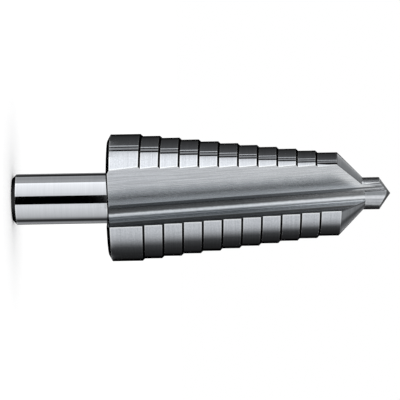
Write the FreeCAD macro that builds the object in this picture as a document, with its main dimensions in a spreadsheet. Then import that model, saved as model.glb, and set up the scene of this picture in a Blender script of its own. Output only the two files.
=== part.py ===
import FreeCAD, Part
import math
import os

import Sketcher

# Step drill with eleven diameters, a small pilot with its point, and a plain round shank.
# It is one piece of tool steel, turned and ground all over, with two straight flutes.
# It stands on the end of its shank: the origin is the centre of that end face, and +Z runs
# along the axis to the point. One flute faces -Y and the other +Y. The cutting edges are the
# borders of the flutes on the +X side at the flute that faces -Y, and on the -X side at the other.

NODE = "step_drill"
STEP_COUNT = 11
FLUTE_COUNT = 2

# Points closer than this, in millimetres, are at one place
TOUCHING = 0.001

# Lengths in millimetres, angles in degrees
SIZES = {
    # Round shank, bevelled round its end
    "shank_diameter": 12.0,
    "shank_length": 22.6,
    "shank_bevel": 1.0,
    # Steps, each smaller than the one behind it
    "largest_diameter": 30.0,
    "diameter_drop": 1.03,
    "first_step_length": 8.87,
    "step_pitch": 4.575,
    "back_bevel_depth": 1.5,
    "back_bevel_length": 0.8,
    # Bevels between the steps, measured from the axis, and how far off centre they are ground
    "shoulder_angle": 45.0,
    "relief_offset": 0.46,
    # Lead cone, pilot and point
    "lead_angle": 45.5,
    "pilot_diameter": 7.6,
    "pilot_length": 3.4,
    "point_angle": 110.0,
    # Flute: where its two faces would meet, towards its open side and across it, at the back
    # of the steps and at the point; the slope of each face; the round between them
    "root_out_back": 6.3,
    "root_side_back": 4.3,
    "root_out_point": 0.35,
    "root_side_point": 0.6,
    "back_face_angle": 35.0,
    "cutting_face_angle": 20.0,
    "root_radius": 2.0,
    # Small bevel where a flute leaves the back of the steps
    "flute_back_bevel": 0.35,
    # Gash that opens the flute along the pilot
    "gash_angle": 17.0,
    "gash_bite": 0.05,
    "gash_lap": 1.0,
    # How far a tool's outline runs clear of what it cuts
    "overrun": 0.2,
}


def size(name):
    return f"Sizes.{name}"


def degrees(name):
    return f"{size(name)} * 1 deg"


def step_radius(step):
    return f"({size('largest_diameter')} - {step - 1} * {size('diameter_drop')}) / 2"


def step_top(step):
    """Height of the front of a step, where its bevel meets the next step at the cutting edge."""
    return f"({size('shank_length')} + {size('first_step_length')} + {step - 1} * {size('step_pitch')})"


# Radii, heights and slopes, as formulas of the sheet's sizes
SHANK_RADIUS = f"{size('shank_diameter')} / 2"
PILOT_RADIUS = f"{size('pilot_diameter')} / 2"
OFFSET = size("relief_offset")
SHOULDER_SLOPE = f"tan({degrees('shoulder_angle')})"
LEAD_SLOPE = f"tan({degrees('lead_angle')})"
STEPS_BACK = size("shank_length")
LEAD_RIM = step_top(STEP_COUNT)
PILOT_FOOT = f"({LEAD_RIM} + ({step_radius(STEP_COUNT)} - {PILOT_RADIUS}) / {LEAD_SLOPE})"
PILOT_TOP = f"({PILOT_FOOT} + {size('pilot_length')})"
POINT = f"({PILOT_TOP} + {PILOT_RADIUS} / tan({degrees('point_angle')} / 2))"


def make_sheet(doc):
    sheet = doc.addObject("Spreadsheet::Sheet", "Sizes")
    for row, (name, value) in enumerate(SIZES.items(), start=1):
        sheet.set(f"A{row}", name)
        sheet.set(f"B{row}", str(value))
        sheet.setAlias(f"B{row}", name)
    doc.recompute()


def origin_part(body, role):
    return next(feature for feature in body.Origin.OriginFeatures if feature.Role == role)


def add_sketch(body, name, plane, shift="0"):
    """Sketch on one of the body's own planes, moved along that plane's normal."""
    sketch = body.newObject("Sketcher::SketchObject", name)
    sketch.AttachmentSupport = (origin_part(body, plane), "")
    sketch.MapMode = "FlatFace"
    sketch.setExpression("AttachmentOffset.Base.z", shift)
    body.Document.recompute()
    return sketch


def add_outline(sketch, corners):
    """Closed outline of straight lines, each corner held from the origin by two formulas."""
    sheet = sketch.Document.Sizes
    places = [tuple(float(sheet.evalExpression(formula)) for formula in corner) for corner in corners]
    first = sketch.GeometryCount
    for index, (start, end) in enumerate(zip(places, places[1:] + places[:1])):
        line = Part.LineSegment(FreeCAD.Vector(*start, 0), FreeCAD.Vector(*end, 0))
        sketch.addGeometry(line, False)
    for index, (corner, place) in enumerate(zip(corners, places)):
        line = first + index
        line_before = first + (index - 1) % len(corners)
        sketch.addConstraint(Sketcher.Constraint("Coincident", line_before, 2, line, 1))
        for direction, axis, value, formula in zip("XY", (-2, -1), place, corner):
            if formula == "0":
                sketch.addConstraint(Sketcher.Constraint("PointOnObject", line, 1, axis))
                continue
            distance = Sketcher.Constraint(f"Distance{direction}", -1, 1, line, 1, value)
            number = sketch.addConstraint(distance)
            sketch.setExpression(f"Constraints[{number}]", formula)


def add_turned(body, name, sketch):
    turned = body.newObject("PartDesign::Revolution", name)
    turned.Profile = sketch
    turned.ReferenceAxis = (sketch, ["V_Axis"])
    turned.Angle = 360
    body.Document.recompute()


def add_round_pattern(body, name, features):
    """Repeats cuts evenly round the axis, and checks that they took metal off."""
    before = body.Shape.Volume
    pattern = body.newObject("PartDesign::PolarPattern", name)
    pattern.Originals = features
    pattern.Axis = (origin_part(body, "Z_Axis"), [""])
    pattern.Angle = 360
    pattern.Occurrences = FLUTE_COUNT
    body.Tip = pattern
    body.Document.recompute()
    if pattern.Shape.Volume >= before:
        raise RuntimeError(f"{name} takes nothing off")


def turn_blank(body):
    """The shank and the steps with square shoulders, as far as the foot of the pilot."""
    corners = [
        ("0", "0"),
        (f"{SHANK_RADIUS} - {size('shank_bevel')}", "0"),
        (SHANK_RADIUS, size("shank_bevel")),
        (SHANK_RADIUS, STEPS_BACK),
        (f"{step_radius(1)} - {size('back_bevel_depth')}", STEPS_BACK),
        (step_radius(1), f"{STEPS_BACK} + {size('back_bevel_length')}"),
    ]
    for step in range(1, STEP_COUNT):
        corners.append((step_radius(step), step_top(step)))
        corners.append((step_radius(step + 1), step_top(step)))
    corners.append((step_radius(STEP_COUNT), PILOT_FOOT))
    corners.append(("0", PILOT_FOOT))
    sketch = add_sketch(body, "blank_outline", "XZ_Plane")
    add_outline(sketch, corners)
    add_turned(body, "blank", sketch)


def relief_corners(radius, next_radius, top, slope):
    """Outline of what is ground off one shoulder: all that lies outside its bevel."""
    inner = f"{next_radius} - {OFFSET}"
    outer = f"{radius} + {OFFSET} + {size('overrun')}"
    bottom = f"{top} - ({outer} - ({inner})) / {slope}"
    above = f"{top} + {size('overrun')}"
    return [(inner, top), (outer, bottom), (outer, above), (inner, above)]


def grind_relief(body):
    """Bevels all the shoulders and the lead cone half way round an axis beside the true one.

    The axis lies off towards the flute, so each bevel is highest at the cutting edge and
    falls away behind it. The other half is bevelled the same way from the other side.
    """
    sketch = add_sketch(body, "relief_outline", "XZ_Plane", OFFSET)
    for step in range(1, STEP_COUNT):
        next_radius = step_radius(step + 1)
        add_outline(sketch, relief_corners(step_radius(step), next_radius, step_top(step), SHOULDER_SLOPE))
    add_outline(sketch, relief_corners(step_radius(STEP_COUNT), PILOT_RADIUS, PILOT_FOOT, LEAD_SLOPE))
    relief = body.newObject("PartDesign::Groove", "relief")
    relief.Profile = sketch
    relief.ReferenceAxis = (sketch, ["V_Axis"])
    relief.Angle = 180
    relief.Midplane = True
    body.Document.recompute()
    add_round_pattern(body, "relief_round", [relief])


def turn_core(body):
    """The true round of each step, begun low enough to fill the root of the bevel behind it.

    The pilot and its point stand on it.
    """
    lowest = f"({size('diameter_drop')} / 2 + 2 * {OFFSET}) / {SHOULDER_SLOPE} + {size('overrun')}"
    start = f"{STEPS_BACK} + {size('back_bevel_length')}"
    corners = [("0", start), (step_radius(1), start)]
    for step in range(1, STEP_COUNT):
        root = f"{step_top(step)} - ({lowest})"
        corners.append((step_radius(step), root))
        corners.append((step_radius(step + 1), root))
    rim = f"{LEAD_RIM} - 2 * {OFFSET} / {LEAD_SLOPE} - {size('overrun')}"
    corners.append((step_radius(STEP_COUNT), rim))
    corners.append((PILOT_RADIUS, rim))
    corners.append((PILOT_RADIUS, PILOT_TOP))
    corners.append(("0", POINT))
    sketch = add_sketch(body, "core_outline", "XZ_Plane")
    add_outline(sketch, corners)
    add_turned(body, "core", sketch)


def along_flute(name, height):
    """A size of the flute's root that changes evenly from the back of the steps to the point."""
    back = size(f"{name}_back")
    point = size(f"{name}_point")
    return f"({back} + ({point} - {back}) * ({height} - {STEPS_BACK}) / ({POINT} - {STEPS_BACK}))"


def add_slanted_pocket(body, name, sketch, height):
    """Cuts from a sketch at some height up past the point, along the slant of the flute."""
    pocket = body.newObject("PartDesign::Pocket", name)
    pocket.Profile = sketch
    pocket.UseCustomVector = True
    pocket.AlongSketchNormal = True
    side_start = along_flute("root_side", height)
    out_start = along_flute("root_out", height)
    pocket.setExpression("Direction.x", f"{size('root_side_point')} - {side_start}")
    pocket.setExpression("Direction.y", f"{out_start} - {size('root_out_point')}")
    pocket.setExpression("Direction.z", f"{POINT} - {height}")
    pocket.setExpression("Length", f"{POINT} - {height} + {size('overrun')}")
    body.Document.recompute()
    return pocket


def cut_flute(body):
    """A wide back face and a nearly radial cutting face that meet in a round root.

    The section is drawn at the end of the shank, where it lies clear outside the shank.
    """
    height = "0"
    side = along_flute("root_side", height)
    out = along_flute("root_out", height)
    reach = size("largest_diameter")
    back = degrees("back_face_angle")
    cutting = degrees("cutting_face_angle")
    root = (side, f"-{out}")
    heel = (f"{side} - {reach} * cos({back})", f"-{out} - {reach} * sin({back})")
    edge = (f"{side} + {reach} * sin({cutting})", f"-{out} - {reach} * cos({cutting})")
    sketch = add_sketch(body, "flute_section", "XY_Plane")
    add_outline(sketch, [root, heel, edge])
    sketch.fillet(0, 1, SIZES["root_radius"], True, True)
    arc = next(index for index, item in enumerate(sketch.Geometry) if isinstance(item, Part.ArcOfCircle))
    number = sketch.addConstraint(Sketcher.Constraint("Radius", arc, SIZES["root_radius"]))
    sketch.setExpression(f"Constraints[{number}]", size("root_radius"))
    body.Document.recompute()
    return add_slanted_pocket(body, "flute", sketch, height)


def cut_gash(body):
    """Turns the cutting face back along the pilot, in line with the round root of the flute."""
    half_gap = f"((90 - {size('back_face_angle')} + {size('cutting_face_angle')}) / 2 * 1 deg)"
    middle = f"((90 - {size('back_face_angle')} - {size('cutting_face_angle')}) / 2 * 1 deg)"
    to_centre = f"{size('root_radius')} / sin({half_gap})"
    centre_side = f"({along_flute('root_side', PILOT_FOOT)} - {to_centre} * sin({middle}))"
    centre_out = f"({along_flute('root_out', PILOT_FOOT)} + {to_centre} * cos({middle}))"
    turn = degrees("gash_angle")
    depth = f"({size('root_radius')} + {size('gash_bite')})"
    lap = size("gash_lap")
    side = f"({centre_side} + {depth} * sin({turn}) - {lap} * cos({turn}))"
    out = f"({centre_out} - {depth} * cos({turn}) - {lap} * sin({turn}))"
    reach = size("pilot_diameter")
    corner = (side, f"-{out}")
    face_end = (f"{side} + {reach} * cos({turn})", f"-{out} - {reach} * sin({turn})")
    open_end = (f"{side} - {reach} * sin({turn})", f"-{out} - {reach} * cos({turn})")
    sketch = add_sketch(body, "gash_section", "XY_Plane", PILOT_FOOT)
    add_outline(sketch, [corner, face_end, open_end])
    return add_slanted_pocket(body, "gash", sketch, PILOT_FOOT)


def flute_back_edges(body):
    """Names of the edges that the flutes cut in the flat back of the steps."""
    sheet = body.Document.Sizes
    back = float(sheet.evalExpression(STEPS_BACK))
    shank = float(sheet.evalExpression(SHANK_RADIUS))
    rim = float(sheet.evalExpression(f"{step_radius(1)} - {size('back_bevel_depth')}"))
    names = []
    for number, edge in enumerate(body.Shape.Edges, start=1):
        middle = edge.valueAt((edge.FirstParameter + edge.LastParameter) / 2)
        points = [middle] + [vertex.Point for vertex in edge.Vertexes]
        in_back = all(abs(point.z - back) < TOUCHING for point in points)
        if in_back and shank + TOUCHING < math.hypot(middle.x, middle.y) < rim - TOUCHING:
            names.append(f"Edge{number}")
    return names


def bevel_flute_backs(body):
    """Breaks the edge of each flute where it leaves the back of the steps."""
    before = body.Tip
    edges = flute_back_edges(body)
    bevel = body.newObject("PartDesign::Chamfer", "flute_back_bevels")
    bevel.Base = (before, edges)
    bevel.setExpression("Size", size("flute_back_bevel"))
    body.Tip = bevel
    body.Document.recompute()


def check(doc, body):
    for item in doc.Objects:
        if "Invalid" in item.State or "Error" in item.State:
            raise RuntimeError(f"{item.Name} failed: {item.State}")
    if body.Shape.isNull() or not body.Shape.isValid():
        raise RuntimeError(f"{body.Label} has no sound shape")
    if len(body.Shape.Solids) != 1:
        raise RuntimeError(f"{body.Label} is not one solid")


def main():
    doc = FreeCAD.newDocument("step_drill")
    make_sheet(doc)
    body = doc.addObject("PartDesign::Body", NODE)
    body.Label = NODE
    turn_blank(body)
    grind_relief(body)
    turn_core(body)
    flute = cut_flute(body)
    gash = cut_gash(body)
    add_round_pattern(body, "flute_round", [flute, gash])
    bevel_flute_backs(body)
    doc.recompute()
    check(doc, body)
    os.makedirs("parts", exist_ok=True)
    body.Shape.exportStep(f"parts/{NODE}.step")
    print(NODE, round(body.Shape.Volume, 1), "cubic millimetres", len(body.Shape.Faces), "faces")


main()
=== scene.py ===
import math

import bpy
from mathutils import Matrix, Vector


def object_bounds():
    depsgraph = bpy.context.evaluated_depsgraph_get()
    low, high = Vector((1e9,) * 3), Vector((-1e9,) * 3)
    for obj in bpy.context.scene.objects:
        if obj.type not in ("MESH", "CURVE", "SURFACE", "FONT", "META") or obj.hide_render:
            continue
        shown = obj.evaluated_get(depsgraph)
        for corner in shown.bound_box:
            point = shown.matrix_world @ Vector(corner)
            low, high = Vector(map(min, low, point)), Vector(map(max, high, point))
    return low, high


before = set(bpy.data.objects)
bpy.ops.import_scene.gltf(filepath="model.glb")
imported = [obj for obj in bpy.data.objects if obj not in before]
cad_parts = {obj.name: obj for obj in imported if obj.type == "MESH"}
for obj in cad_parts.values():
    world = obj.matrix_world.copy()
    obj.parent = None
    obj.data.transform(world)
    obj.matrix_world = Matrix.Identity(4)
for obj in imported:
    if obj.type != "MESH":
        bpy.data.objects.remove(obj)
cad_low, cad_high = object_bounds()

MM = 0.001
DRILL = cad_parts["step_drill"]

# Sizes of the part that tell its faces apart, in millimetres
SHANK_LENGTH = 22.6
LARGEST_RADIUS = 15.0
RADIUS_DROP = 0.515
STEP_COUNT = 11
FIRST_STEP_LENGTH = 8.87
STEP_PITCH = 4.575
BACK_BEVEL_LENGTH = 0.8
PILOT_RADIUS = 3.8
PILOT_LENGTH = 3.4
POINT_HALF_ANGLE = math.radians(55)

LAND_TOP = SHANK_LENGTH + FIRST_STEP_LENGTH + STEP_PITCH * (STEP_COUNT - 1)
POINT_HEIGHT = cad_high[2] / MM
PILOT_TOP = POINT_HEIGHT - PILOT_RADIUS / math.tan(POINT_HALF_ANGLE)
PILOT_FOOT = PILOT_TOP - PILOT_LENGTH

# How far the middle of a face may lie from where its kind ends, in millimetres
NEAR = 0.02
NEAR_FOOT = 0.05
NEAR_PILOT = 0.1
NEAR_LAND = 0.75

# How much of a normal lies along or across the axis, at least, on a straight face and a sloping one
STRAIGHT = 0.99
SLOPING = 0.3

# How much of a turned face's normal points round the axis, at most
TURNED_ASIDE = 0.09

# Keeps a face on the axis from a division by zero
TINY = 1e-6

# Where the flute's root begins and ends, by where its faces look round the axis from the open side,
# in degrees
ROOT_LOOKS = -33.0
CUTTING_FACE_LOOKS = 61.0

FACE_KINDS = (
    "shank", "shank_bevel", "shank_end", "back_face", "back_bevel", "land",
    "shoulder", "flute", "root", "cutting_face", "gash", "lead", "pilot", "point",
)


# Faces

def step_radius(z):
    """Radius of the land at a height, in millimetres."""
    above = z - SHANK_LENGTH - FIRST_STEP_LENGTH
    number = 0 if above < 0 else min(STEP_COUNT - 1, 1 + int(above / STEP_PITCH))
    return LARGEST_RADIUS - RADIUS_DROP * number


def shank_kind(z, outward):
    """The shank's end, its round side, or the bevel between them."""
    if z < NEAR:
        return "shank_end"
    return "shank" if outward > STRAIGHT else "shank_bevel"


def step_kind(z, normal):
    """The land of a step, the bevel above it, or the lead cone above the last one."""
    if normal.z < SLOPING:
        return "land"
    return "shoulder" if z < LAND_TOP - STEP_PITCH / 2 else "lead"


def tip_kind(z, radius, outward, normal, turned):
    """The pilot's round side, the cone of the point, or the gash that opens the flute there."""
    if turned and outward > STRAIGHT and radius > PILOT_RADIUS - NEAR_PILOT:
        return "pilot"
    if turned and normal.z > SLOPING and z > PILOT_TOP:
        return "point"
    return "gash"


def flute_kind(y, normal):
    """The wide back face of a flute, a part of its round root, or the cutting face."""
    side = 1.0 if y < 0 else -1.0
    looks = math.degrees(math.atan2(-normal.x * side, -normal.y * side))
    if looks < ROOT_LOOKS:
        return "flute"
    return "root" if looks < CUTTING_FACE_LOOKS else "cutting_face"


def face_kind(centre, normal):
    """What a face of the solid is, from where it lies and where it looks."""
    x, y, z = (value / MM for value in centre)
    radius = max(math.hypot(x, y), TINY)
    outward = (x * normal.x + y * normal.y) / radius
    turned = abs(x * normal.y - y * normal.x) / radius < TURNED_ASIDE
    if z < SHANK_LENGTH - NEAR:
        return shank_kind(z, outward)
    if normal.z < -STRAIGHT:
        return "back_face"
    if normal.z < -SLOPING and z < SHANK_LENGTH + BACK_BEVEL_LENGTH + NEAR:
        return "back_bevel"
    if turned and z < LAND_TOP and outward > SLOPING and radius > step_radius(z) - NEAR_LAND:
        return step_kind(z, normal)
    if z > PILOT_FOOT - NEAR_FOOT:
        return tip_kind(z, radius, outward, normal, turned)
    if normal.z > SLOPING and outward > SLOPING and z > LAND_TOP - NEAR_LAND:
        return "lead"
    return flute_kind(y, normal)


# Node trees

class Tree:
    """A node tree that is built from short calls; an input is a value or another node's socket."""

    def __init__(self, owner):
        owner.use_nodes = True
        self.nodes = owner.node_tree.nodes
        self.links = owner.node_tree.links
        self.nodes.clear()

    def put(self, socket, value):
        if isinstance(value, bpy.types.NodeSocket):
            self.links.new(value, socket)
        elif value is not None:
            socket.default_value = value

    def add(self, kind, inputs=(), **settings):
        node = self.nodes.new("ShaderNode" + kind)
        for name, value in settings.items():
            setattr(node, name, value)
        for place, value in dict(inputs).items():
            self.put(node.inputs[place], value)
        return node

    def math(self, operation, a, b=None, c=None, clamp=False):
        inputs = {0: a, 1: b, 2: c}
        return self.add("Math", inputs, operation=operation, use_clamp=clamp).outputs[0]

    def vector(self, operation, a, b=None):
        return self.add("VectorMath", {0: a, 1: b}, operation=operation).outputs[0]

    def part(self, vector, axis):
        """One of a vector's three numbers."""
        return self.add("SeparateXYZ", {0: vector}).outputs[axis]

    def span(self, value, low, high, to_low=0.0, to_high=1.0):
        """value between low and high, carried over to the range to_low to to_high."""
        inputs = {0: value, 1: low, 2: high, 3: to_low, 4: to_high}
        return self.add("MapRange", inputs).outputs[0]

    def mix_colour(self, share, a, b):
        node = self.add("Mix", data_type="RGBA")
        self.put(node.inputs[0], share)
        self.put(node.inputs[6], a)
        self.put(node.inputs[7], b)
        return node.outputs[2]

    def ramp(self, value, stops):
        """A grey that follows stops, pairs of a value and the grey there."""
        low, high = stops[0][0], stops[-1][0]
        node = self.add("ValToRGB", {0: self.span(value, low, high)})
        elements = node.color_ramp.elements
        for at, grey in stops[1:-1]:
            elements.new((at - low) / (high - low))
        for element, (at, grey) in zip(elements, stops):
            element.color = (grey, grey, grey, 1.0)
        return node.outputs[0]

    def noise(self, place, detail=2.0, roughness=0.5, scale=1.0):
        inputs = {"Vector": place, "Scale": scale, "Detail": detail, "Roughness": roughness}
        return self.add("TexNoise", inputs).outputs[0]


# Coordinates on the steel, in millimetres

# The flute's root line, from the back of the steps to the point, gives the grinding its direction
ROOT_BACK = Vector((4.3, -6.3, SHANK_LENGTH))
ROOT_POINT = Vector((0.6, -0.35, POINT_HEIGHT))
ROOT_LINE = (ROOT_POINT - ROOT_BACK).normalized()

# How far the root moves across the flute on each millimetre of its way up
ROOT_LEAN = (ROOT_BACK.x - ROOT_POINT.x) / (ROOT_POINT.z - ROOT_BACK.z)


def millimetres(tree):
    place = tree.add("TexCoord").outputs["Object"]
    return tree.vector("MULTIPLY", place, (1.0 / MM, 1.0 / MM, 1.0 / MM))


def in_one_flute(tree, value):
    """A place or a direction, with the far flute's turned half round the axis onto the near one's."""
    side = tree.math("MULTIPLY", tree.math("SIGN", tree.part(millimetres(tree), "Y")), -1.0)
    turn = tree.add("CombineXYZ", {0: side, 1: side, 2: 1.0}).outputs[0]
    return tree.vector("MULTIPLY", value, turn)


def beside_root(tree, place):
    """How far across the flute a place lies, the same all along its root."""
    near = in_one_flute(tree, place)
    return tree.math("MULTIPLY_ADD", tree.part(near, "Z"), ROOT_LEAN, tree.part(near, "X"))


def lengthwise(tree, place, across, along):
    """Coordinates for lines along the root, so far across and so long."""
    turn = ROOT_LINE.to_track_quat("Z", "Y").to_euler()
    inputs = {"Vector": in_one_flute(tree, place), "Rotation": turn, "Scale": (across, across, along)}
    return tree.add("Mapping", inputs, vector_type="TEXTURE").outputs[0]


def flattened(tree, place):
    """A place moved along the axis to height 0."""
    return tree.vector("MULTIPLY", place, (1.0, 1.0, 0.0))


def facing(tree, place, turns):
    """Coordinates that change only round the axis; turns says how fast."""
    outward = tree.vector("NORMALIZE", flattened(tree, place))
    return tree.vector("MULTIPLY", outward, (turns, turns, 0.0))


def roundabout(tree, place, across, turns):
    """Coordinates for lines that run round the axis: they change along it and slowly round it."""
    height = tree.vector("MULTIPLY", place, (0.0, 0.0, 1.0 / across))
    return tree.vector("ADD", facing(tree, place, turns), height)


def rings(tree, place, across, turns):
    """Coordinates for turned rings on a face across the axis."""
    flat = flattened(tree, place)
    radius = tree.add("VectorMath", {0: flat}, operation="LENGTH").outputs["Value"]
    height = tree.add("CombineXYZ", {2: tree.math("DIVIDE", radius, across)}).outputs[0]
    return tree.vector("ADD", facing(tree, place, turns), height)


# Machining lines

# Painted bands of light and shade across a gash, as greys by their share of the pilot's width from the
# back edge's side
GASH_LIGHT_AND_SHADE = (
    (0.175, 0.7), (0.19, 0.0), (0.21, 0.0), (0.225, 0.9), (0.25, 0.8), (0.275, 0.1), (0.31, 0.25),
    (0.35, 1.0), (0.41, 0.9), (0.45, 0.0), (0.54, 0.0), (0.60, 0.9), (0.635, 1.0), (0.68, 0.5),
    (0.71, 0.2), (0.74, 0.75), (0.77, 0.1), (0.80, 0.5), (0.84, 0.0), (1.0, 1.0),
)


def turned_lines(coordinates, fine, broad, turns):
    """Turning marks. A pattern gives its fine lines and its broad ones, so many millimetres across."""
    def pattern(tree, place):
        fine_lines = tree.noise(coordinates(tree, place, fine, turns), detail=3.0, roughness=0.6)
        return fine_lines, tree.noise(coordinates(tree, place, broad, turns))
    return pattern


def round_lines(fine, broad, turns):
    """Turning marks round the axis."""
    return turned_lines(roundabout, fine, broad, turns)


def ring_lines(fine, broad, turns):
    """Turning marks on a face across the axis."""
    return turned_lines(rings, fine, broad, turns)


def ground_lines(tree, place, across, along):
    """Fine grinding lines."""
    return tree.noise(lengthwise(tree, place, across, along), detail=3.0, roughness=0.65)


def long_lines(fine, broad, along):
    """Grinding lines along the flute's root."""
    def pattern(tree, place):
        broad_lines = tree.noise(lengthwise(tree, place, broad, along * 2))
        return ground_lines(tree, place, fine, along), broad_lines
    return pattern


def painted_gash_bands(fine, along):
    """Fine grinding lines, with painted bands of light and shade across the gash."""
    def pattern(tree, place):
        beside = tree.part(in_one_flute(tree, place), "X")
        bands = tree.ramp(tree.span(beside, -PILOT_RADIUS, PILOT_RADIUS), GASH_LIGHT_AND_SHADE)
        return ground_lines(tree, place, fine, along), bands
    return pattern


# Painted shade, which darkens the steel, and painted light, the share of it that is painted bright

# Painted shade on the root, by where it looks round the axis, in degrees: how bright it stays
ROOT_PAINTED_SHADE = (
    (-31.0, 0.40), (-25.0, 0.80), (0.0, 0.80), (5.0, 0.30), (14.0, 0.33), (19.0, 0.88), (34.0, 0.88),
    (42.0, 0.50), (70.0, 1.0),
)

# How much painted light the root gets at the point, the same way, and the heights it grows between
ROOT_PAINTED_LIGHT = (
    (-30.0, 0.10), (-24.0, 0.70), (-3.0, 0.65), (5.0, 0.22), (14.0, 0.20), (20.0, 0.30), (30.0, 0.34),
    (38.0, 0.12), (48.0, 0.35), (70.0, 1.0),
)
PAINTED_LIGHT_HEIGHTS = (54.0, 78.0)

# The narrow border of the back face beside the root, painted as a line of shade: where it lies,
# how bright it stays, and how much of its painted light is left
BORDER_SPAN = (3.06, 3.14)
BORDER_PAINTED_SHADE = 0.22
BORDER_PAINTED_LIGHT = 0.1

# The most painted light on the back face towards the point, and towards the root between two places
FLUTE_PAINTED_LIGHT_UP = 0.8
FLUTE_PAINTED_LIGHT_BESIDE = 0.7
FLUTE_PAINTED_LIGHT_SPAN = (-2.0, 2.0)

# Painted shade along a line across the cutting face, and how much painted light its foot gets at the
# point
CUTTING_FACE_PAINTED_SHADE = ((7.04, 1.0), (7.16, 0.1), (7.5, 0.1), (7.6, 1.0))
CUTTING_FACE_PAINTED_LIGHT = 0.45
CUTTING_FACE_PAINTED_LIGHT_SPAN = (6.5, 6.95)


def root_ramp(tree, stops):
    """A grey that follows stops by where the flute's root looks round the axis, in degrees."""
    normal = in_one_flute(tree, tree.add("NewGeometry").outputs["Normal"])
    inward = tree.vector("MULTIPLY", normal, (-1.0, -1.0, 1.0))
    looks = tree.math("ARCTAN2", tree.part(inward, "X"), tree.part(inward, "Y"))
    return tree.ramp(tree.math("DEGREES", looks), stops)


def towards_point(tree, place):
    """0 at the lower steps and 1 at the point."""
    return tree.span(tree.part(place, "Z"), *PAINTED_LIGHT_HEIGHTS)


def root_painted_shade(tree, place):
    """Paints shade on the flute's root by where it faces: a hollow between two dark lines."""
    return root_ramp(tree, ROOT_PAINTED_SHADE)


def root_painted_light(tree, place):
    """Paints light on the flute's root towards the point, by where it faces."""
    return tree.math("MULTIPLY", root_ramp(tree, ROOT_PAINTED_LIGHT), towards_point(tree, place))


def flute_painted_shade(tree, place):
    """Paints a narrow line of shade on the flute's back face, beside its root."""
    return tree.span(beside_root(tree, place), *BORDER_SPAN, 1.0, BORDER_PAINTED_SHADE)


def flute_painted_light(tree, place):
    """Paints light on the flute's back face towards the point and towards its root."""
    beside = beside_root(tree, place)
    upwards = tree.span(tree.part(place, "Z"), SHANK_LENGTH, POINT_HEIGHT, 0.0, FLUTE_PAINTED_LIGHT_UP)
    across = tree.span(beside, *FLUTE_PAINTED_LIGHT_SPAN, 0.0, FLUTE_PAINTED_LIGHT_BESIDE)
    share = tree.math("ADD", upwards, across, clamp=True)
    return tree.math("MULTIPLY", share, tree.span(beside, *BORDER_SPAN, 1.0, BORDER_PAINTED_LIGHT))


def cutting_face_painted_shade(tree, place):
    """Paints a line of shade along the cutting face."""
    return tree.ramp(beside_root(tree, place), CUTTING_FACE_PAINTED_SHADE)


def cutting_face_painted_light(tree, place):
    """Paints light on the foot of the cutting face towards the point."""
    beside = beside_root(tree, place)
    foot = tree.span(beside, *CUTTING_FACE_PAINTED_LIGHT_SPAN, CUTTING_FACE_PAINTED_LIGHT, 0.0)
    return tree.math("MULTIPLY", foot, towards_point(tree, place))


# Steel

# Colours, from the brightest to the darkest
# The white of painted highlights along edges and of painted light on the flute
PAINTED_HIGHLIGHT = (0.94, 0.965, 0.99)
PALE = (0.83, 0.865, 0.92)
LIGHT = (0.735, 0.775, 0.815)
BRIGHT = (0.675, 0.695, 0.73)
EVEN = (0.615, 0.635, 0.67)
MIDDLE = (0.53, 0.555, 0.585)
SPECKED = (0.41, 0.43, 0.46)
DULL = (0.35, 0.37, 0.39)
DIM = (0.24, 0.255, 0.27)
# DARK and the near-black below paint shade on bevels, shoulders and the point; bare steel is not this
# dark
DARK = (0.05, 0.05, 0.052)
PAINTED_SHADE_BLACK = (0.015, 0.015, 0.016)

# Widths of the round at every edge and of the painted highlight or painted dark line along an edge, in
# millimetres
EDGE_ROUND = 0.05
EDGE_PAINT_WIDTH = 0.6

# How alike a face's own normal and its rounded one are where the painted edge line starts and where it
# is full
EDGE_PAINT_SPAN = (0.998, 0.97)

# The broad lines' share of a pattern, and the noise that reads as its darkest and its lightest
BROAD_SHARE = 0.45
LINE_SPAN = (0.34, 0.66)
SHADE_SPAN = (0.1, 0.9)


def opaque(colour):
    """The four numbers that a colour socket takes."""
    return (*colour, 1.0)


def line_shade(tree, fine, broad):
    """The lines together, from 0 to 1."""
    lines = tree.math("MULTIPLY_ADD", broad, BROAD_SHARE, tree.math("MULTIPLY", fine, 1.0 - BROAD_SHARE))
    return tree.span(lines, *LINE_SPAN)


def specked_shade(tree, place, lines, share, specks):
    """The lines with a share of specks among them."""
    noise = tree.noise(place, detail=4.0, roughness=0.75, scale=specks)
    shade = tree.math("MULTIPLY_ADD", noise, share, tree.math("MULTIPLY", lines, 1.0 - share))
    return tree.span(shade, *SHADE_SPAN)


def paint_edge_lines(tree, colour, share, edge_colour):
    """The colour, with a share of edge_colour painted along the edges: a painted highlight, or a painted
    dark line.
    """
    flat = tree.add("NewGeometry").outputs["Normal"]
    turned = tree.add("Bevel", {"Radius": EDGE_PAINT_WIDTH * MM}, samples=8).outputs[0]
    alike = tree.add("VectorMath", {0: flat, 1: turned}, operation="DOT_PRODUCT").outputs["Value"]
    return tree.mix_colour(tree.span(alike, *EDGE_PAINT_SPAN, 0.0, share), colour, opaque(edge_colour))


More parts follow.
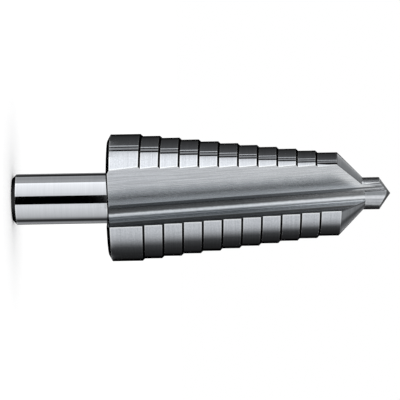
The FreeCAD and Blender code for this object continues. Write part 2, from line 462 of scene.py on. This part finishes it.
def steel(
        name, pattern, dark, light, roughness, bump, rim=1.0, edge_paint=0.0, edge_colour=PAINTED_HIGHLIGHT,
        speck_share=0.35, specks=1.1, painted_shade=None, painted_light=None):
    """Bare steel with machining lines, between two colours and between two roughnesses.

    bump is how deep the lines are, in millimetres, and rim how bright the metal gets where it is
    seen at a low angle. edge_paint is how far the edges take edge_colour, a painted highlight or a
    painted dark line. speck_share is how much of the shading comes from specks, so many to the
    millimetre, and the rest comes from the lines. painted_shade darkens the colour with painted
    shade, and painted_light mixes in painted light.
    """
    material = bpy.data.materials.new(name)
    tree = Tree(material)
    place = millimetres(tree)
    fine, broad = pattern(tree, place)
    lines = line_shade(tree, fine, broad)
    shade = specked_shade(tree, place, lines, speck_share, specks)
    colour = tree.mix_colour(shade, opaque(dark), opaque(light))
    # Painted shade darkens the colour here, and painted light mixes in the painted highlight white
    if painted_shade:
        colour = tree.vector("MULTIPLY", colour, painted_shade(tree, place))
    if painted_light:
        colour = tree.mix_colour(painted_light(tree, place), colour, opaque(PAINTED_HIGHLIGHT))
    rounded = tree.add("Bevel", {"Radius": EDGE_ROUND * MM}, samples=6).outputs[0]
    if edge_paint:
        colour = paint_edge_lines(tree, colour, edge_paint, edge_colour)
    relief = {"Strength": 1.0, "Distance": bump * MM, "Height": fine, "Normal": rounded}
    smooth, rough = roughness
    surface = tree.add("BsdfPrincipled", {
        "Base Color": colour,
        "Metallic": 1.0,
        "Roughness": tree.span(lines, 0.0, 1.0, rough, smooth),
        "Specular Tint": (rim, rim, rim, 1.0),
        "Normal": tree.add("Bump", relief).outputs[0],
    })
    tree.add("OutputMaterial", {"Surface": surface.outputs[0]})
    return material


def faced_steel(name):
    """The finish of a face that is turned square to the axis."""
    return steel(
        name, ring_lines(fine=0.15, broad=0.7, turns=0.5), MIDDLE, BRIGHT,
        roughness=(0.18, 0.3), bump=0.002)


def make_materials():
    """The finish of each kind of face."""
    # Each finish's edge share paints a highlight along its edges, and on the lead a dark line of painted
    # shade
    return {
        "shank": steel(
            "steel_polished", round_lines(fine=0.12, broad=0.6, turns=0.6), EVEN, BRIGHT,
            roughness=(0.025, 0.045), bump=0.0003, edge_paint=1.0),
        # The shank's bevel is painted almost black, as painted shade, and rim 0 takes away its bright
        # reflection at low angles
        "shank_bevel": steel(
            "steel_bevel", round_lines(fine=0.1, broad=0.4, turns=1.0), PAINTED_SHADE_BLACK, DARK,
            roughness=(0.25, 0.35), bump=0.001, rim=0.0),
        "shank_end": faced_steel("steel_faced"),
        "back_face": faced_steel("steel_faced_back"),
        # The back bevel is painted black, as painted shade
        "back_bevel": steel(
            "steel_back_bevel", round_lines(fine=0.1, broad=0.4, turns=1.0), PAINTED_SHADE_BLACK, PAINTED_SHADE_BLACK,
            roughness=(0.2, 0.3), bump=0.001, rim=0.0),
        "land": steel(
            "steel_land", round_lines(fine=0.1, broad=0.3, turns=0.8), SPECKED, PALE,
            roughness=(0.03, 0.06), bump=0.0005, edge_paint=1.0, speck_share=0.8, specks=2.8),
        # The shoulders are painted almost black, as painted shade
        "shoulder": steel(
            "steel_shoulder", round_lines(fine=0.1, broad=0.3, turns=1.0), PAINTED_SHADE_BLACK, DARK,
            roughness=(0.25, 0.4), bump=0.001, rim=0.0),
        "flute": steel(
            "steel_flute", long_lines(fine=0.16, broad=0.32, along=9.0), EVEN, PALE,
            roughness=(0.2, 0.34), bump=0.003, edge_paint=1.0, painted_shade=flute_painted_shade, painted_light=flute_painted_light),
        "root": steel(
            "steel_root", long_lines(fine=0.14, broad=0.3, along=60.0), DULL, LIGHT,
            roughness=(0.14, 0.24), bump=0.003, painted_shade=root_painted_shade, painted_light=root_painted_light),
        # The cutting face gets darker colours too, painted shade that dims what it reflects
        "cutting_face": steel(
            "steel_cutting_face", long_lines(fine=0.14, broad=0.3, along=60.0), DIM, DULL,
            roughness=(0.10, 0.18), bump=0.002, edge_paint=0.2,
            painted_shade=cutting_face_painted_shade, painted_light=cutting_face_painted_light),
        # The gash carries painted bands of light and shade
        "gash": steel(
            "steel_gash", painted_gash_bands(fine=0.14, along=12.0), DIM, BRIGHT,
            roughness=(0.2, 0.32), bump=0.002, edge_paint=0.15),
        "lead": steel(
            "steel_lead", ring_lines(fine=0.15, broad=0.6, turns=0.8), DULL, MIDDLE,
            roughness=(0.12, 0.18), bump=0.001, edge_paint=0.8, edge_colour=DARK),
        "pilot": steel(
            "steel_pilot", round_lines(fine=0.1, broad=0.4, turns=0.8), DULL, BRIGHT,
            roughness=(0.15, 0.25), bump=0.001, edge_paint=0.8),
        # The point gets dark colours, painted shade for its dark bands
        "point": steel(
            "steel_point", ring_lines(fine=0.12, broad=0.5, turns=0.8), DARK, DULL,
            roughness=(0.18, 0.28), bump=0.002, edge_paint=0.5),
    }


def dress(node):
    """Gives each face of the solid the finish of its kind."""
    materials = make_materials()
    mesh = node.data
    mesh.materials.clear()
    for kind in FACE_KINDS:
        mesh.materials.append(materials[kind])
    for face in mesh.polygons:
        face.material_index = FACE_KINDS.index(face_kind(face.center, face.normal))


# White room

FLOOR_SIDE = 4.0
FLOOR_GLOW = 0.12
BACKGROUND_STRENGTH = 1.0
ROOM_STRENGTH = 1.0
WHITE = (1.0, 1.0, 1.0, 1.0)
FLOOR_WHITE = (0.97, 0.97, 0.97, 1.0)


def seen_as_background(tree):
    """1 where the camera, a reflection or a transmission sees the background, and 0 where it lights."""
    path = tree.add("LightPath")
    seen = tree.math("ADD", path.outputs["Is Camera Ray"], path.outputs["Is Glossy Ray"])
    return tree.math("ADD", seen, path.outputs["Is Transmission Ray"], clamp=True)


def make_world():
    world = bpy.data.worlds.new("white_room")
    bpy.context.scene.world = world
    tree = Tree(world)
    strength = tree.span(seen_as_background(tree), 0.0, 1.0, ROOM_STRENGTH, BACKGROUND_STRENGTH)
    back = tree.add("Background", {"Color": WHITE, "Strength": strength})
    tree.add("OutputWorld", {"Surface": back.outputs[0]})
    world.cycles.sampling_method = "NONE"


def floor_material():
    material = bpy.data.materials.new("floor_white")
    tree = Tree(material)
    glow = tree.math("MULTIPLY", seen_as_background(tree), FLOOR_GLOW)
    surface = tree.add("BsdfPrincipled", {
        "Base Color": FLOOR_WHITE, "Roughness": 0.9, "Specular IOR Level": 0.0,
        "Emission Color": WHITE, "Emission Strength": glow,
    })
    tree.add("OutputMaterial", {"Surface": surface.outputs[0]})
    return material


def make_floor():
    half = FLOOR_SIDE / 2
    mesh = bpy.data.meshes.new("floor")
    corners = [(-half, -half, 0), (half, -half, 0), (half, half, 0), (-half, half, 0)]
    mesh.from_pydata(corners, [], [(0, 1, 2, 3)])
    floor = bpy.data.objects.new("floor", mesh)
    bpy.context.scene.collection.objects.link(floor)
    floor.visible_glossy = False
    mesh.materials.append(floor_material())


# Cards, which only reflections see

# Sizes and heights in metres: the upright cards are bent round the axis, and a dome is overhead
CARD_RADIUS = 0.78
CARD_LOW, CARD_SPLIT, CARD_HIGH = -0.08, -0.0161, 0.32
SKIRT_LOW = -1.5
DOME_RADIUS = 1.5

# The most degrees that a flat piece of an upright card turns, and the pieces round half the dome
CARD_STEP = 5.0
DOME_PIECES = 18

# How far a card's angle turns, at most, because the metal lies beside the axis, in degrees
CARD_LEAN = 1.0

# Greys round the part as the steps reflect them, from the picture's upper side to its lower side
STEPS_UP = (
    (56.0, 1.27), (70.0, 1.26), (80.0, 1.17), (86.0, 1.02), (91.0, 0.88), (91.7, 0.0), (95.5, 0.02),
    (96.0, 0.35), (100.8, 0.35), (101.2, 0.0), (104.2, 0.0), (104.6, 0.72), (106.9, 0.72),
    (107.4, 0.11), (118.0, 0.08), (130.0, 0.055), (143.0, 0.04), (153.0, 0.01), (178.0, 0.0),
)
STEPS_FRONT = (
    (46.0, 1.1), (32.0, 1.05), (26.0, 0.9), (20.0, 0.75), (14.0, 0.5), (7.0, 0.2), (-8.0, 0.12),
    (-26.0, 0.10), (-49.0, 0.05),
)
STEPS_DOWN = (
    (-50.0, 0.81), (-66.0, 0.75), (-78.0, 0.58), (-86.0, 0.37), (-94.0, 0.175), (-101.0, 0.075),
    (-108.0, 0.052), (-120.0, 0.03), (-140.0, 0.018), (-150.0, 0.0), (-178.0, 0.0),
)

# The same as the shank reflects them
SHANK_UP = (
    (13.5, 0.90), (22.5, 0.94), (27.0, 1.03), (41.0, 1.12), (51.0, 1.20), (61.0, 1.26), (67.0, 1.32),
    (72.0, 1.45), (77.0, 1.45), (78.0, 0.48), (90.0, 0.48), (105.0, 0.38), (121.0, 0.44),
    (125.0, 0.02), (143.0, 0.02), (148.0, 0.25), (178.0, 0.30),
)
SHANK_FRONT = ((13.5, 0.0), (-23.5, 0.0))
SHANK_DOWN = (
    (-23.5, 1.0), (-40.0, 0.95), (-70.0, 0.75), (-82.0, 0.66), (-90.0, 0.56), (-97.0, 0.36),
    (-104.0, 0.14), (-108.0, 0.04), (-121.0, 0.04), (-128.0, 0.28), (-140.0, 0.38), (-155.0, 0.25),
    (-178.0, 0.05),
)

# Greys below the cards, which the steps reflect when they are seen from above: one quarter turn
SKIRT = (
    (0.0, 1.0), (18.0, 0.85), (30.0, 0.45), (36.0, 0.08), (52.0, 0.05), (60.0, 0.22), (72.0, 0.60),
    (89.9, 1.0),
)
SKIRT_START = -149.0

# Greys overhead, by elevation, as the two sides of the lead cone reflect them
CEILING_UP = ((22.0, 0.62), (30.0, 0.43), (50.0, 0.36), (70.0, 0.36), (90.0, 0.36))
CEILING_DOWN = (
    (22.0, 0.24), (33.0, 0.22), (37.0, 0.17), (39.0, 0.11), (46.0, 0.11), (50.0, 0.34), (70.0, 0.40),
    (90.0, 0.36),
)


def card_material():
    """Cards read in the steel as greys of their own, whatever light falls on them."""
    material = bpy.data.materials.new("card")
    tree = Tree(material)
    shade = tree.add("Attribute", attribute_name="shade").outputs["Fac"]
    glow = tree.add("Emission", {"Color": WHITE, "Strength": shade})
    tree.add("OutputMaterial", {"Surface": glow.outputs[0]})
    material.cycles.emission_sampling = "NONE"
    return material


def around(degrees_up, radius, z):
    """A point round the axis: 0 is towards the camera and 90 is the picture's upper side."""
    angle = math.radians(degrees_up)
    return (-radius * math.sin(angle), -radius * math.cos(angle), z)


def add_card(name, rows, shades):
    """A sheet through rows of points, with a grey for each column."""
    columns = len(shades)
    points = [point for row in rows for point in row]
    corners = [row * columns + i for row in range(len(rows) - 1) for i in range(columns - 1)]
    faces = [(at, at + 1, at + columns + 1, at + columns) for at in corners]
    mesh = bpy.data.meshes.new(name)
    mesh.from_pydata(points, [], faces)
    grey = mesh.attributes.new("shade", "FLOAT", "POINT")
    grey.data.foreach_set("value", list(shades) * len(rows))
    mesh.materials.append(bpy.data.materials.get("card") or card_material())
    card = bpy.data.objects.new(name, mesh)
    bpy.context.scene.collection.objects.link(card)
    card.visible_camera = card.visible_diffuse = card.visible_shadow = False
    card.visible_transmission = card.visible_volume_scatter = False


def upright_card(name, stops, low, high):
    """An upright card. stops are pairs of an angle and the grey there."""
    angles, shades = [], []
    for (start, grey), (end, next_grey) in zip(stops, stops[1:]):
        pieces = max(1, math.ceil(abs(end - start) / CARD_STEP))
        for i in range(pieces):
            angles.append(start + (end - start) * i / pieces)
            shades.append(grey + (next_grey - grey) * i / pieces)
    angles.append(stops[-1][0])
    shades.append(stops[-1][1])
    turned = [angle + CARD_LEAN * math.sin(math.radians(angle / 2)) for angle in angles]
    rows = [[around(angle, CARD_RADIUS, z) for angle in turned] for z in (low, high)]
    add_card(name, rows, shades)


def dome_point(turn, elevation):
    """A point of the dome, by its angle round the axis and its elevation."""
    angle = math.radians(elevation)
    return around(turn, DOME_RADIUS * math.cos(angle), DOME_RADIUS * math.sin(angle))


def ceiling(name, stops, start):
    """Half a dome over the drill. stops are pairs of an elevation and the grey there."""
    turns = [start + 180.0 * i / DOME_PIECES for i in range(DOME_PIECES + 1)]
    rows = [[dome_point(turn, elevation) for elevation, grey in stops] for turn in turns]
    add_card(name, rows, [grey for elevation, grey in stops])


def make_cards():
    for name, stops in (("up", STEPS_UP), ("front", STEPS_FRONT), ("down", STEPS_DOWN)):
        upright_card("card_steps_" + name, stops, CARD_SPLIT, CARD_HIGH)
    for name, stops in (("up", SHANK_UP), ("front", SHANK_FRONT), ("down", SHANK_DOWN)):
        upright_card("card_shank_" + name, stops, CARD_LOW, CARD_SPLIT)
    for quarter in range(4):
        stops = [(SKIRT_START + 90.0 * quarter + angle, grey) for angle, grey in SKIRT]
        upright_card("card_skirt_%d" % (quarter + 1), stops, SKIRT_LOW, CARD_LOW)
    ceiling("card_ceiling_up", CEILING_UP, 0.0)
    ceiling("card_ceiling_down", CEILING_DOWN, -180.0)


# Lamps

# Place, size and aim in metres
LAMP_DISTANCE = 0.8
LAMP_HEIGHT = 0.05
LAMP_WIDTH, LAMP_LENGTH = 0.8, 1.0
LAMP_AIM = Vector((0.0, 0.0, 0.045))

# Where each lamp stands round the axis, and how bright it reads in a mirror, with white at 1
LAMPS = {"soft_box_up": (62.0, 0.30), "soft_box_down": (-45.0, 0.05)}


def make_lamp(name, degrees_up, radiance):
    """A soft box that faces the middle of the part."""
    data = bpy.data.lights.new(name, "AREA")
    data.shape = "RECTANGLE"
    data.size, data.size_y = LAMP_WIDTH, LAMP_LENGTH
    data.energy = radiance * math.pi * LAMP_WIDTH * LAMP_LENGTH
    lamp = bpy.data.objects.new(name, data)
    bpy.context.scene.collection.objects.link(lamp)
    lamp.location = around(degrees_up, LAMP_DISTANCE, LAMP_HEIGHT)
    lamp.rotation_mode = "QUATERNION"
    lamp.rotation_quaternion = (LAMP_AIM - lamp.location).to_track_quat("-Z", "Y")
    lamp.visible_camera = False


def make_lamps():
    for name, (degrees_up, radiance) in LAMPS.items():
        make_lamp(name, degrees_up, radiance)


# Camera

# Set from where the part's lines fall in the picture, in metres, pixels and millimetres of sensor
CAMERA_DISTANCE = 0.540
CAMERA_HEIGHT = 0.04955
FOCAL_PIXELS = 2284.0
PICTURE_PIXELS = 400
SENSOR_WIDTH = 36.0
AXIS_PIXEL = (222.5, 195.9)
ROLL = math.atan(0.0177)


def make_camera():
    data = bpy.data.cameras.new("camera")
    data.sensor_width = SENSOR_WIDTH
    data.lens = FOCAL_PIXELS / PICTURE_PIXELS * SENSOR_WIDTH
    middle = PICTURE_PIXELS / 2
    data.shift_x = (middle - AXIS_PIXEL[0]) / PICTURE_PIXELS
    data.shift_y = (AXIS_PIXEL[1] - middle) / PICTURE_PIXELS
    data.clip_start, data.clip_end = 0.01, 20.0
    camera = bpy.data.objects.new("camera", data)
    bpy.context.scene.collection.objects.link(camera)
    right = Vector((math.sin(ROLL), 0.0, math.cos(ROLL)))
    up = Vector((-math.cos(ROLL), 0.0, math.sin(ROLL)))
    back = Vector((0.0, -1.0, 0.0))
    turn = Matrix((right, up, back)).transposed().to_4x4()
    camera.matrix_world = Matrix.Translation((0.0, -CAMERA_DISTANCE, CAMERA_HEIGHT)) @ turn
    bpy.context.scene.camera = camera


dress(DRILL)
make_world()
make_floor()
make_cards()
make_lamps()
make_camera()
bpy.context.scene.view_settings.view_transform = "Standard"
